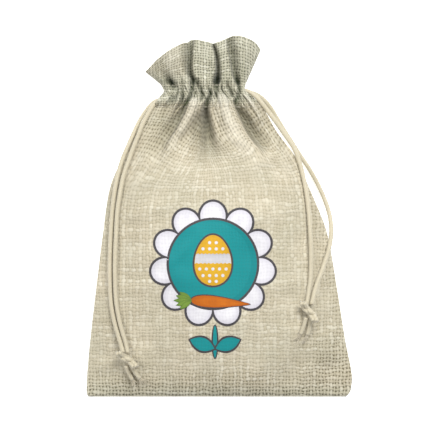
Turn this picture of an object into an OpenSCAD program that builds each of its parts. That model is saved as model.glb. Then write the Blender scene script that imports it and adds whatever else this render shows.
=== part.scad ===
// Drawstring gift pouch of coarse woven cloth, lying on its back with its mouth drawn shut.
// X runs across the pouch, Y from the bottom seam to the mouth, Z up from the surface it lies on.

/* [Cloth] */
// Thickness of one ply of cloth
cloth_t = 0.9; // [0.7:0.1:1.0]
// Highest point of the front panel above the surface
crown_h = 27; // [25:1:29]

/* [Neck] */
// Half of the width of the gathered neck
neck_half_w = 21; // [20.5:0.5:21.5]
// Half of the thickness of the gathered neck
neck_half_h = 8.5; // [8.5:0.1:9]
// Depth of the gathers round the neck
gather_depth = 0.5; // [0.3:0.1:0.6]
// Half of the width of the hole that is left through the drawn neck
mouth_half_w = 7; // [6:0.5:8]
// Half of the height of that hole
mouth_half_h = 3; // [2.8:0.1:3.2]

/* [Frill] */
// Number of gathers round the whole frill
frill_gathers = 9; // [7:1:11]
// Depth of the frill's gathers at its top edge
frill_depth = 2.2; // [1.5:0.1:2.5]

/* [Drawcords] */
// Diameter of each drawcord
cord_d = 2.2; // [1.8:0.1:2.3]
// How far each drawcord can be pulled out of its channel
pull_travel = 12; // [8:1:12]

/* [Print] */
// Radius of the printed flower to the tips of its petals
print_r = 31; // [26:1:31]
// Number of petals
print_petals = 11; // [8:1:14]

/* [Hidden] */

linen = [0.84, 0.80, 0.70];
linen_dark = [0.76, 0.72, 0.61];
thread_colour = [0.90, 0.87, 0.78];
cord_colour = [0.87, 0.82, 0.68];
print_colour = [0.10, 0.62, 0.62];

gap = 0.05;           // half of the gap between two plies that are sewn together
ply = cloth_t + gap;  // from the seam plane to the far side of one ply

// Outline of the body: y, left edge x, right edge x, crown share, seam height, underside height.
outline = [
    [-88.5, -64, 61.5, 0.08, 1.0, 0],
    [-85, -65.5, 64.5, 0.22, 1.3, 0],
    [-78, -65.2, 65.5, 0.38, 2.2, 0],
    [-60, -63.5, 61.8, 0.65, 4.5, 0],
    [-34, -60.4, 57.6, 0.89, 7, 0],
    [-7, -57, 52.5, 1.00, 8.5, 0],
    [15, -53.5, 43.8, 0.99, 9.5, 0],
    [29, -47.5, 37.5, 0.93, 10, 0.3],
    [42, -39, 27.5, 0.83, 10.6, 1.4],
    [52.8, -30, 17, 0.76, 11, 2.3]
];
body_y0 = outline[0][0];
body_y1 = outline[len(outline) - 1][0];
crown_power = 2.3;  // how flat the top of the crowned front panel is
flat_share = 0.6;   // share of the back panel's half width that lies flat

// Neck: the gathered channel that the drawcords run in.
neck_x = -7.3;
neck_z = 11;
casing_y0 = 53;
casing_y1 = 65;
left_cord_y = 57.5;
right_cord_y = 61.5;
cord_lift = 5;        // height of a drawcord's run above and below the neck's middle
bore_clearance = 0.3;
bore_r = cord_d / 2 + bore_clearance;
neck_left = neck_x - neck_half_w;
neck_right = neck_x + neck_half_w;
bight_inset = 8;      // from the end of the channel to the centre of a drawcord's turn
stub = pull_travel + 0.2;  // stretch of each strand that stays in the channel
run_gap = 0.1;        // between a strand's end and the rest of its drawcord in the channel

// Frill: the standing part of the cloth above the channel.
frill_y0 = casing_y1 + 0.2;
frill_rows = 7;
frill_steps = 60;
frill_left = -36.4;
frill_right = 19.4;
frill_front_h = 12.5;
frill_back_h = 9.5;
frill_back_drop = 1.5;  // how much lower the back's top edge is in its middle
frill_power = 0.6;      // how full the frill's cross-section is
frill_reach = 0.97;     // share of the frill's height that its turned-in ply reaches
// Height of the frill's top edge, y, against the share of its half width, from left to right.
frill_top = [[-1, 71], [-0.8, 77], [-0.5, 83.5], [-0.2, 86], [0.1, 86], [0.35, 88.5], [0.6, 88],
             [0.88, 85.5], [1, 81.5]];

// ---- interpolation ----

function row_at(v, t, i = 0) = i >= len(t) - 2 || v < t[i + 1][0] ? i : row_at(v, t, i + 1);
function slope(t, i, k) =
    let(a = max(i - 1, 0), b = min(i + 1, len(t) - 1)) (t[b][k] - t[a][k]) / (t[b][0] - t[a][0]);
// Smooth value of column k of table t at v.
function smooth(v, t, k = 1) =
    let(i = row_at(v, t), h = t[i + 1][0] - t[i][0], s = (v - t[i][0]) / h,
        s2 = s * s, s3 = s2 * s)
    t[i][k] * (2 * s3 - 3 * s2 + 1) + slope(t, i, k) * h * (s3 - 2 * s2 + s)
    + t[i + 1][k] * (3 * s2 - 2 * s3) + slope(t, i + 1, k) * h * (s3 - s2);

// ---- the pouch's surfaces ----

function edge_l(y) = smooth(y, outline, 1);
function edge_r(y) = smooth(y, outline, 2);
function across(x, y) =
    let(c = (edge_l(y) + edge_r(y)) / 2, a = (edge_r(y) - edge_l(y)) / 2)
    min(1, abs(x - c) / a);
function seam_z(y) = smooth(y, outline, 4);
// Outer side of the front panel.
function front_z(x, y) =
    let(edge = seam_z(y) + ply, top = max(edge + 0.2, crown_h * smooth(y, outline, 3)))
    edge + (top - edge) * (1 - pow(across(x, y), crown_power));
// Outer side of the back panel.
function back_z(x, y) =
    let(s = max(0, (across(x, y) - flat_share) / (1 - flat_share)),
        low = max(0, smooth(y, outline, 5)))
    low + (seam_z(y) - ply - low) * s * s;

// ---- solids from grids ----

// A closed slab between two grids of points, of the same rows and columns.
module slab(upper, lower) {
    r = len(upper);
    c = len(upper[0]);
    points = [for (g = [upper, lower]) for (line = g) for (p = line) p];
    function u(i, j) = i * c + j;
    function l(i, j) = r * c + i * c + j;
    faces = concat(
        [for (i = [0:r - 2]) for (j = [0:c - 2]) each
            [[u(i, j), u(i + 1, j), u(i + 1, j + 1)], [u(i, j), u(i + 1, j + 1), u(i, j + 1)],
             [l(i, j), l(i + 1, j + 1), l(i + 1, j)], [l(i, j), l(i, j + 1), l(i + 1, j + 1)]]],
        [for (i = [0:r - 2]) each
            [[u(i, 0), l(i + 1, 0), u(i + 1, 0)], [u(i, 0), l(i, 0), l(i + 1, 0)],
             [u(i, c - 1), u(i + 1, c - 1), l(i + 1, c - 1)],
             [u(i, c - 1), l(i + 1, c - 1), l(i, c - 1)]]],
        [for (j = [0:c - 2]) each
            [[u(0, j), u(0, j + 1), l(0, j + 1)], [u(0, j), l(0, j + 1), l(0, j)],
             [u(r - 1, j), l(r - 1, j + 1), u(r - 1, j + 1)],
             [u(r - 1, j), l(r - 1, j), l(r - 1, j + 1)]]]);
    polyhedron(points, faces);
}

// A tube of diameter d from point to point of a route that never runs along up.
module tube(route, d, up = [0, 0, 1], sides = 8) {
    n = len(route);
    function at(i) = route[max(0, min(n - 1, i))];
    function along(i) = let(v = at(i + 1) - at(i - 1)) v / norm(v);
    function ring(i) =
        let(t = along(i), side = cross(t, up), a = side / norm(side), b = cross(a, t))
        [for (k = [0:sides - 1])
            route[i] + d / 2 * (a * cos(360 * k / sides) + b * sin(360 * k / sides))];
    points = [for (i = [0:n - 1]) each ring(i)];
    faces = concat(
        [for (i = [0:n - 2]) for (k = [0:sides - 1])
            let(k2 = (k + 1) % sides, a = i * sides + k, b = i * sides + k2)
            each [[a, b, b + sides], [a, b + sides, a + sides]]],
        [[for (k = [sides - 1:-1:0]) k]],
        [[for (k = [0:sides - 1]) (n - 1) * sides + k]]);
    polyhedron(points, faces);
}

function span(a, b, n) = [for (i = [0:n]) a + (b - a) * i / n];

// ---- body of the pouch ----

panel_cols = 24;
panel_ys = concat([body_y0, -87.2, -85.2, -82, -78], span(-72, body_y1, 19));

function panel_grid(z) = [for (y = panel_ys) [for (u = span(0, 1, panel_cols))
    let(x = edge_l(y) + (edge_r(y) - edge_l(y)) * (1 - cos(180 * u)) / 2) [x, y, z(x, y)]]];

module front_panel() {
    color(linen)
        slab(panel_grid(function(x, y) front_z(x, y)),
             panel_grid(function(x, y) front_z(x, y) - cloth_t));
}

module back_panel() {
    color(linen_dark)
        slab(panel_grid(function(x, y) back_z(x, y) + cloth_t),
             panel_grid(function(x, y) back_z(x, y)));
}

// The two plies turned in along a side seam: thin at the seam, then two plies thick.
allowance_t = 1.2;
allowance_ys = span(-70, 46, 18);
// Distance in from the edge, and half thickness there.
allowance_profile = [[0.4, 0.04], [3.8, allowance_t / 2], [8, allowance_t / 2]];

module seam_allowance(left) {
    function edge(y, d) = left ? edge_l(y) + d : edge_r(y) - d;
    order = left ? allowance_profile
                 : [for (i = [2:-1:0]) allowance_profile[i]];
    color(linen_dark)
        slab([for (y = allowance_ys) [for (p = order) [edge(y, p[0]), y, seam_z(y) + p[1]]]],
             [for (y = allowance_ys) [for (p = order) [edge(y, p[0]), y, seam_z(y) - p[1]]]]);
}

bottom_strip_ys = [-84, -82, -79];
bottom_strip_w = 54;
bottom_strip_cols = 18;
bottom_strip_xs = span(-bottom_strip_w, bottom_strip_w, bottom_strip_cols);
strip_t = 0.9;
strip_lift = 0.05;

module bottom_seam_allowance() {
    function inner(x, y) = back_z(x, y) + cloth_t + strip_lift;
    color(linen_dark)
        slab([for (y = bottom_strip_ys) [for (x = bottom_strip_xs) [x, y, inner(x, y) + strip_t]]],
             [for (y = bottom_strip_ys) [for (x = bottom_strip_xs) [x, y, inner(x, y)]]]);
}

// One stitch of thread from a to b.
thread_d = 0.4;
stitch_pitch = 4;
stitch_l = 2.8;

module stitch(a, b) {
    v = b - a;
    translate(a)
        rotate([0, acos(v.z / norm(v)), atan2(v.y, v.x)])
            cylinder(d = thread_d, h = norm(v), $fn = 16);
}

seam_inset = 5.5;       // from the edge of the pouch to a side seam's thread
side_seam_y0 = -68;
side_seam_y1 = 42;

module seam_thread(left) {
    function p(y) = [left ? edge_l(y) + seam_inset : edge_r(y) - seam_inset, y,
                     seam_z(y) + allowance_t / 2];
    color(thread_colour)
        for (y = [side_seam_y0:stitch_pitch:side_seam_y1]) stitch(p(y), p(y + stitch_l));
}

bottom_seam_y = -81.5;
bottom_seam_x0 = -50;
bottom_seam_x1 = 46;

module bottom_seam_thread() {
    function p(x) =
        [x, bottom_seam_y, back_z(x, bottom_seam_y) + cloth_t + strip_lift + strip_t];
    color(thread_colour)
        for (x = [bottom_seam_x0:stitch_pitch:bottom_seam_x1]) stitch(p(x), p(x + stitch_l));
}

// ---- neck ----

neck_power = 3.4;       // how square the gathered outline is
neck_gathers = 20;      // gathers round the whole neck
// Point of the gathered outline at angle t, in x and z; grow moves it outwards.
function neck_point(t, grow = 0) =
    let(c = cos(t), s = sin(t), p = 2 / neck_power, g = grow - gather_depth * (1 - cos(neck_gathers * t)) / 2)
    [neck_x + (neck_half_w + g) * sign(c) * pow(abs(c), p),
     neck_z + (neck_half_h + g) * sign(s) * pow(abs(s), p)];
function mouth_point(t) = [neck_x + mouth_half_w * cos(t), neck_z + mouth_half_h * sin(t)];

// Half of the gathered neck: side is 1 for the front half and -1 for the back half.
module neck_half(side) {
    steps = 72;
    mouth_steps = 24;
    past = 1;           // how far a bore or slot runs past what it cuts
    function off_seam(p) = [p.x, side > 0 ? max(p.y, neck_z + gap) : min(p.y, neck_z - gap)];
    difference() {
        translate([0, casing_y1, 0]) rotate([90, 0, 0])
            linear_extrude(casing_y1 - casing_y0)
                polygon(concat(
                    [for (i = [0:steps]) off_seam(neck_point(side * 180 * i / steps))],
                    [for (i = [mouth_steps:-1:0])
                        off_seam(mouth_point(side * 180 * i / mouth_steps))]));
        for (y = [left_cord_y, right_cord_y])
            translate([neck_left - past, y, neck_z + side * cord_lift]) rotate([0, 90, 0])
                cylinder(r = bore_r, h = 2 * (neck_half_w + past), $fn = 32);
        // Slots at the far ends, where each drawcord turns back.
        translate([neck_right - bight_inset, left_cord_y - bore_r, neck_z - cord_lift - bore_r])
            cube([bight_inset + past, 2 * bore_r, 2 * (cord_lift + bore_r)]);
        translate([neck_left - past, right_cord_y - bore_r, neck_z - cord_lift - bore_r])
            cube([bight_inset + past, 2 * bore_r, 2 * (cord_lift + bore_r)]);
    }
}

module front_casing() { color(linen) neck_half(1); }
module back_casing() { color(linen_dark) neck_half(-1); }

// A row of stitches across one half of the neck, at height y.
row_turn = 9;           // from stitch to stitch round the neck, in degrees
row_stitch_turn = 5;
row_inset = 0.8;        // from the channel's edges to the two rows
upper_row_y = casing_y1 - row_inset;
lower_row_y = casing_y0 + row_inset;

module stitch_row(side, y) {
    function p(t) = let(q = neck_point(side * t)) [q.x, y, q.y];
    color(thread_colour)
        for (t = [20:row_turn:155]) stitch(p(t), p(t + row_stitch_turn));
}

// Dense stitches that lock the ends of the slit where a drawcord comes out.
tack = [0.9, 1.1, 3.4];
tack_ys = [casing_y0 + 1.6, casing_y1 - 1.2];

module bar_tacks(x) {
    color(thread_colour)
        for (y = tack_ys) translate([x, y, neck_z]) cube(tack, center = true);
}

// ---- frill ----

// Point of the frill at angle t and share s of its height, moved in by a depth.
function frill_point(t, s, side, inset) =
    let(c = cos(t), n = sin(t),
        left = neck_left + (frill_left - neck_left) * s,
        right = neck_right + (frill_right - neck_right) * s,
        h = neck_half_h + ((side > 0 ? frill_front_h : frill_back_h) - neck_half_h) * s,
        wave = (gather_depth + (frill_depth - gather_depth) * s) * (1 - cos(frill_gathers * 2 * t)) / 2,
        fade = min(1, n * 2.5),
        a = (right - left) / 2 - inset, top = smooth(c, frill_top))
    [(left + right) / 2 + a * sign(c) * pow(abs(c), 0.75),
     frill_y0 + (top - (side > 0 ? 0 : frill_back_drop) * n - frill_y0) * s,
     neck_z + side * (2 * gap + (h - inset - wave * fade) * pow(n, frill_power))];

module frill_shell(side, inset, thick, reach) {
    function grid(d) = [for (i = [0:frill_rows - 1]) [for (t = span(0, 180, frill_steps))
        frill_point(t, reach * i / (frill_rows - 1), side, d)]];
    if (side > 0) slab(grid(inset + thick), grid(inset));
    else slab(grid(inset), grid(inset + thick));
}

module front_frill() { color(linen) frill_shell(1, 0, cloth_t, 1); }
module front_frill_hem() { color(linen_dark) frill_shell(1, cloth_t + 2 * gap, cloth_t, frill_reach); }
module back_frill() { color(linen) frill_shell(-1, 0, cloth_t, 1); }
module back_frill_hem() { color(linen_dark) frill_shell(-1, cloth_t + 2 * gap, cloth_t, frill_reach); }

// ---- drawcords ----

// Inside the channel: along the front, round the far end and back.
module cord_run(y, from, turn_x, outwards) {
    arc = [for (a = [-90:22.5:90])
        [turn_x + outwards * cord_lift * cos(a), y, neck_z - cord_lift * sin(a)]];
    color(cord_colour)
        tube(concat([[from, y, neck_z + cord_lift]], arc, [[from, y, neck_z - cord_lift]]), cord_d,
             [0, 1, 0]);
}

// Routes of the four free strands, from the channel to the knots.
left_front_route = [
    [neck_left + stub, 57.5, 16], [-22, 57.5, 16], [-28, 57.5, 16], [-31.6, 55.4, 15.8],
    [-34.6, 50.8, 15.8], [-37.3, 45.6, 16], [-39.7, 39.6, 16], [-42.1, 33.6, 15.8],
    [-44.5, 27, 15.7], [-47, 19.5, 15.8], [-48.8, 10, 16], [-50, 1, 15.6], [-50.5, -9, 15.5], [-51, -20, 15.3], [-51, -31, 15],
    [-50.4, -42, 14.5], [-48.6, -52, 14], [-46, -61, 13.6], [-44.8, -66.2, 13.8]];
left_back_route = [
    [neck_left + stub, 57.5, 6], [-22, 57.5, 6], [-28, 57.5, 6], [-32.4, 56.2, 6.4],
    [-36.2, 51.8, 8], [-39.2, 47, 10.4], [-41.7, 41.6, 12.4], [-44.3, 35.6, 13.3],
    [-47.1, 29, 13.4], [-49.8, 20, 14], [-51.5, 10.5, 14.2], [-52.6, 1, 14], [-53.2, -9, 13.8], [-53.6, -20, 13.7],
    [-53.6, -31, 13.6], [-53, -42, 13.3], [-51.2, -52, 13], [-48.6, -61, 13], [-47.1, -66.2, 13.6]];
right_front_route = [
    [neck_right - stub, 61.5, 16], [8, 61.5, 16], [13.2, 61.5, 16], [17.6, 59, 15.4],
    [21, 55.2, 14.6], [24.4, 50.8, 13.6], [27.8, 46.4, 12.8], [31, 41.8, 12.4],
    [34, 37.6, 12.3], [36.8, 33, 12.4], [39.8, 24.5, 13], [42, 14.5, 14], [43.4, 4, 15.3], [44.2, -7, 16.6], [44.6, -18, 17], [44.4, -29, 17],
    [43.4, -37, 17.4], [42.4, -42.6, 18.2]];
right_back_route = [
    [neck_right - stub, 61.5, 6], [8, 61.5, 6], [13.2, 61.5, 6], [18.6, 60, 5.6],
    [22.6, 56.8, 5], [25.8, 52.8, 4.4], [28.4, 48.4, 3.8], [31.6, 43.2, 3], [35.3, 37.4, 2.4],
    [39.6, 30.6, 2], [44.6, 23.2, 2], [49.5, 14, 2.6], [53.4, 4, 4.6], [54.8, -5, 8.4], [53.9, -14, 12], [50.6, -24.5, 14.4], [47, -34, 16.6],
    [44.8, -42.6, 18]];

module strand(route) { color(cord_colour) tube(route, cord_d); }

// A tight double overhand knot, as a waisted barrel with one wrap round it.
left_knot_at = [-45.3, -69.3, 13.9];
right_knot_at = [43.5, -45.9, 18.4];
left_knot_turn = -76;
right_knot_turn = -92;
left_knot_dip = 4;
right_knot_dip = 2;
knot_r = 3;
knot_l = 7;
knot_end_r = 2;
knot_waist = 0.8;       // how far the barrel is drawn in at its middle
knot_swell = 0.3;       // and at its two bulges

module knot(place, turn, dip) {
    color(cord_colour)
        translate(place) rotate([0, 0, turn]) rotate([0, 90 + dip, 0]) {
            rotate_extrude($fn = 48)
                polygon([[0, -knot_l / 2], [knot_end_r, -knot_l / 2],
                         [knot_r - knot_swell, -knot_l / 4], [knot_r - knot_waist, 0],
                         [knot_r - knot_swell, knot_l / 4], [knot_end_r, knot_l / 2],
                         [0, knot_l / 2]]);
            rotate_extrude($fn = 48) translate([knot_r - cord_d / 2, 0])
                circle(d = cord_d, $fn = 32);
        }
}

left_tail_routes = [
    [[-43.4, -72.4, 13], [-41.6, -75.6, 11.8], [-39.4, -78.6, 10.4], [-36.6, -81.4, 9]],
    [[-45.6, -72.8, 12.6], [-44.6, -76, 11.2], [-43, -79.2, 9.8], [-41, -82.4, 8.4]]];
right_tail_routes = [
    [[42.2, -49, 17.8], [41.2, -52.8, 16.6], [39.8, -56.6, 15.8], [37.8, -60.4, 15.2]],
    [[44.6, -49, 17.6], [44, -53, 16], [43, -57, 15], [41.4, -61, 14.4]]];

module tails(routes) { color(cord_colour) for (r = routes) tube(r, cord_d); }

// ---- print ----

print_x = -3;
print_y = -22.5;
print_t = 0.15;
print_lift = 0.05;
petal_reach = 3;        // from the hollows between the petals to their tips
flower_eye_r = 0.6;     // radius where the two halves' grids begin
flower_split = 0.1;     // from the flower's middle line to each half
stem_ys = [-67, -63, -58.5, -54.2];
stem_x0 = -13;
stem_x1 = 9;

// A film on the front panel, from grids of x and y.
module film(grid) {
    color(print_colour)
        slab([for (line = grid) [for (p = line) [p.x, p.y, front_z(p.x, p.y) + print_lift + print_t]]],
             [for (line = grid) [for (p = line) [p.x, p.y, front_z(p.x, p.y) + print_lift]]]);
}

module printed_motif() {
    function rim(t) = print_r - petal_reach * (1 - pow(abs(cos(print_petals * (t - 90) / 2)), 0.7));
    // Half of the flower each, split along its middle so that each film is a plain grid.
    for (half = [0, 1])
        film([for (i = [0:6]) [for (j = [0:60])
            let(t = 180 * half + 90 - 180 * j / 60,
                r = flower_eye_r + (rim(t) - flower_eye_r) * i / 6)
            [print_x + (half == 0 ? 1 : -1) * flower_split + r * cos(t), print_y + r * sin(t)]]]);
    // The stem and its leaves, below the flower.
    film([for (y = stem_ys) [for (x = span(stem_x0, stem_x1, 8)) [x, y]]]);
}

// ---- nodes ----

front_panel();
back_panel();
seam_allowance(true);  // left_seam_allowance
seam_allowance(false);  // right_seam_allowance
bottom_seam_allowance();
seam_thread(true);  // left_seam_thread
seam_thread(false);  // right_seam_thread
bottom_seam_thread();
front_casing();
back_casing();
stitch_row(1, upper_row_y);  // front_upper_stitches
stitch_row(1, lower_row_y);  // front_lower_stitches
stitch_row(-1, upper_row_y);  // back_upper_stitches
stitch_row(-1, lower_row_y);  // back_lower_stitches
bar_tacks(neck_left);  // left_bar_tacks
bar_tacks(neck_right);  // right_bar_tacks
front_frill();
front_frill_hem();
back_frill();
back_frill_hem();
cord_run(left_cord_y, neck_left + stub + run_gap, neck_right - bight_inset, 1);  // left_cord_run
cord_run(right_cord_y, neck_right - stub - run_gap, neck_left + bight_inset, -1);  // right_cord_run
strand(left_front_route);  // left_front_strand
strand(left_back_route);  // left_back_strand
knot(left_knot_at, left_knot_turn, left_knot_dip);  // left_knot
tails(left_tail_routes);  // left_tails
strand(right_front_route);  // right_front_strand
strand(right_back_route);  // right_back_strand
knot(right_knot_at, right_knot_turn, right_knot_dip);  // right_knot
tails(right_tail_routes);  // right_tails
printed_motif();
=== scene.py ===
"""A drawstring gift pouch of coarse woven cloth, lying on its back with its mouth drawn shut.

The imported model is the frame. X runs across the pouch, Y from the bottom seam to the mouth and Z up.
Shapes are worked out in millimetres and become metres only where a mesh is made.
"""
import math

import bpy
import numpy as np
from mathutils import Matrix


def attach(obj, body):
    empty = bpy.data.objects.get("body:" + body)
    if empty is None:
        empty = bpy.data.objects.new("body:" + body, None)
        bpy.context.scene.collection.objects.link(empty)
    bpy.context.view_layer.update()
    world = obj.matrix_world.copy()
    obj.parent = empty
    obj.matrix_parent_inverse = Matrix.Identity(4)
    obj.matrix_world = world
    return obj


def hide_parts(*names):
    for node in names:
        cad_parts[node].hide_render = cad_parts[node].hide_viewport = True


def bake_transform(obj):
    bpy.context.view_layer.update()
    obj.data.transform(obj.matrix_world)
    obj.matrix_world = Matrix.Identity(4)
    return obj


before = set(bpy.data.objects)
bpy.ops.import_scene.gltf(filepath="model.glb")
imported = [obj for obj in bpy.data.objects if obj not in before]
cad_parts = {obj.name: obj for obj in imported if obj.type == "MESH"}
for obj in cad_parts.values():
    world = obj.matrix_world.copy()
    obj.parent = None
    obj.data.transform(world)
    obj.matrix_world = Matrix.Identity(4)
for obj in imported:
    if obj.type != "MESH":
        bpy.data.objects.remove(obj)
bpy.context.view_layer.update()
MM = 0.001
rng = np.random.default_rng(11)

# ---- driving values, in millimetres

CLOTH_T = 0.7           # thickness of one ply
NECK_X = -7.3           # middle of the drawn neck
NECK_Z = 11.0
NECK_TOP = 65.0         # y where the frill begins
BOTTOM_Y = -88.5        # bottom seam
BODY_TOP = 44           # y where the rows of the cloth's mesh get closer for the neck
CORD_D = 2.2
LEFT_CORD_Y = 57.5
RIGHT_CORD_Y = 61.5
NECK_HALF = 21.0        # half the drawn neck's width
NECK_L = NECK_X - NECK_HALF
NECK_R = NECK_X + NECK_HALF
LOWER_ROW_Y = 53.8      # rows of stitches along the channel
UPPER_ROW_Y = 64.2
CORD_STUB = 12.2        # stretch of each strand that stays in the channel
TURN_R = 5.0            # radius of each cord's turn inside the channel
THREAD_PITCH = 1.78     # from thread to thread of the weave, up the pouch
WARP_PITCH = 1.64       # and across it
WHITE = (1, 1, 1, 1)

# ---- camera, lights and floor


def placed(name, data):
    """An object that holds the data, in the scene."""
    thing = bpy.data.objects.new(name, data)
    bpy.context.collection.objects.link(thing)
    return thing


def make_camera():
    """Straight above the pouch, with a long lens, as a product photograph of it is taken."""
    distance, frame_w, sensor = 1.4, 0.2107, 36.0
    data = bpy.data.cameras.new("camera")
    data.sensor_width = sensor
    data.lens = sensor * distance / frame_w
    camera = placed("camera", data)
    camera.location = (-0.0022, 0.0010, distance + 0.010)
    bpy.context.scene.camera = camera
    bpy.context.scene.view_settings.view_transform = "Standard"


def area_light(name, place, size, power, aim=(0, 0, 0.01)):
    """A round soft light at a place in metres, turned to its aim."""
    data = bpy.data.lights.new(name, "AREA")
    data.shape = "DISK"
    data.size = size
    data.energy = power
    light = placed(name, data)
    light.location = place
    gap = [a - b for a, b in zip(aim, place)]
    light.rotation_euler = (math.atan2(math.hypot(gap[0], gap[1]), -gap[2]), 0,
                            math.atan2(gap[1], gap[0]) - math.pi / 2)


def make_studio():
    area_light("key", (0.27, 0.46, 0.90), 0.46, 11.5)
    area_light("fill", (-0.50, 0.12, 0.80), 0.6, 3.9)
    world = bpy.data.worlds.new("world")
    world.use_nodes = True
    background = world.node_tree.nodes["Background"]
    background.inputs["Color"].default_value = WHITE
    background.inputs["Strength"].default_value = 0.36
    bpy.context.scene.world = world
    mesh = bpy.data.meshes.new("floor")
    side, low = 1.5, -0.0003
    mesh.from_pydata([(-side, -side, low), (side, -side, low), (side, side, low), (-side, side, low)],
                     [], [(0, 1, 2, 3)])
    n = Nodes("floor")
    # A lit table, as cut-out product pictures are taken on: only a faint shadow is left at the edges.
    n.surface({"Base Color": (0.93, 0.93, 0.93, 1), "Roughness": 0.9, "Emission Color": WHITE,
               "Emission Strength": 0.62})
    mesh.materials.append(n.material)
    placed("floor", mesh)


# ---- materials


class Nodes:
    """A short way to write node trees."""

    def __init__(self, name):
        self.material = bpy.data.materials.new(name)
        self.material.use_nodes = True
        self.tree = self.material.node_tree
        self.shader = self.tree.nodes["Principled BSDF"]

    def link(self, value, socket):
        if isinstance(value, bpy.types.NodeSocket):
            self.tree.links.new(value, socket)
        else:
            socket.default_value = value

    def node(self, kind, inputs=(), **settings):
        """A new node of a kind: inputs by number, or by name in a dictionary."""
        node = self.tree.nodes.new("ShaderNode" + kind)
        for key, value in settings.items():
            setattr(node, key, value)
        for key, value in inputs.items() if isinstance(inputs, dict) else enumerate(inputs):
            self.link(value, node.inputs[key])
        return node

    def surface(self, sockets):
        """Sockets of the shader, each to a number, a colour or a node's output."""
        for key, value in sockets.items():
            self.link(value, self.shader.inputs[key])

    def math(self, operation, *values, clamp=False):
        return self.node("Math", values, operation=operation, use_clamp=clamp).outputs[0]

    def combine(self, *places):
        return self.node("CombineXYZ", places).outputs[0]

    def attribute(self, name, output="Fac"):
        return self.node("Attribute", attribute_name=name).outputs[output]

    def noise(self, vector, scale, detail=2.0, roughness=0.5):
        inputs = {"Vector": vector, "Scale": scale, "Detail": detail, "Roughness": roughness}
        return self.node("TexNoise", inputs).outputs["Fac"]

    def mix(self, share, a, b, blend="MIX"):
        a, b = [(*value, 1.0) if isinstance(value, tuple) else value for value in (a, b)]
        return self.node("Mix", {"Factor": share, 6: a, 7: b}, data_type="RGBA", blend_type=blend).outputs[2]

    def spread(self, value, low, high, out_low=0.0, out_high=1.0):
        """The value's place between low and high, as one between the two outer values."""
        return self.node("MapRange", (value, low, high, out_low, out_high)).outputs["Result"]

    def bump(self, height, distance, strength=1.0):
        node = self.node("Bump", {"Height": height, "Distance": distance, "Strength": strength})
        self.link(node.outputs["Normal"], self.shader.inputs["Normal"])


def weave(n, place, openness):
    """A plain weave with slubs, from the cloth's own coordinates in threads.

    Returns the height from 0 in a hole to 1 on a thread, and each thread's own tone from 0 to 1.
    """
    x, y, _ = n.node("SeparateXYZ", (place,)).outputs

    def wandering(value, noise_place):
        """The threads' slow drift to either side."""
        drift = n.math("SUBTRACT", n.noise(noise_place, 0.30), 0.5)
        return n.math("ADD", value, n.math("MULTIPLY", drift, 1.5))

    u, v = wandering(x, place), wandering(y, n.combine(y, x, 7.0))

    def thread(across, along, seed):
        """One set of threads: its height where it runs, and its tone."""
        index = n.math("FLOOR", across)
        middle = n.math("SUBTRACT", n.math("FRACT", across), 0.5)
        lane = n.math("MULTIPLY", index, 7.31)
        slub = n.noise(n.combine(lane, n.math("MULTIPLY", along, 0.16), seed), 1.0)
        streak = n.noise(n.combine(lane, n.math("MULTIPLY", along, 0.045), seed + 20.0), 1.0, 1.0)
        half = n.math("SUBTRACT", n.spread(slub, 0.28, 0.72, 0.44, 0.70),
                      n.math("MULTIPLY", openness, 0.14))
        ratio = n.math("DIVIDE", middle, half)
        body = n.math("SUBTRACT", 1.0, n.math("MULTIPLY", ratio, ratio))
        wave = n.math("COSINE", n.math("MULTIPLY", math.pi,
                                       n.math("ADD", n.math("SUBTRACT", along, 0.5), index)))
        height = n.math("ADD", n.math("MULTIPLY", body, 0.6), n.math("MULTIPLY", wave, 0.22))
        tone = n.math("ADD", n.math("MULTIPLY", slub, 0.45), n.math("MULTIPLY", streak, 0.55))
        return height, tone

    warp, warp_tone = thread(u, v, 1.7)
    weft, weft_tone = thread(v, n.math("ADD", u, 1.0), 5.3)
    top = n.math("MAXIMUM", warp, weft)
    over = n.math("GREATER_THAN", warp, weft)
    tone = n.math("ADD", n.math("MULTIPLY", over, warp_tone),
                  n.math("MULTIPLY", n.math("SUBTRACT", 1.0, over), weft_tone))
    return n.spread(top, 0.10, 0.76), tone


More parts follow.
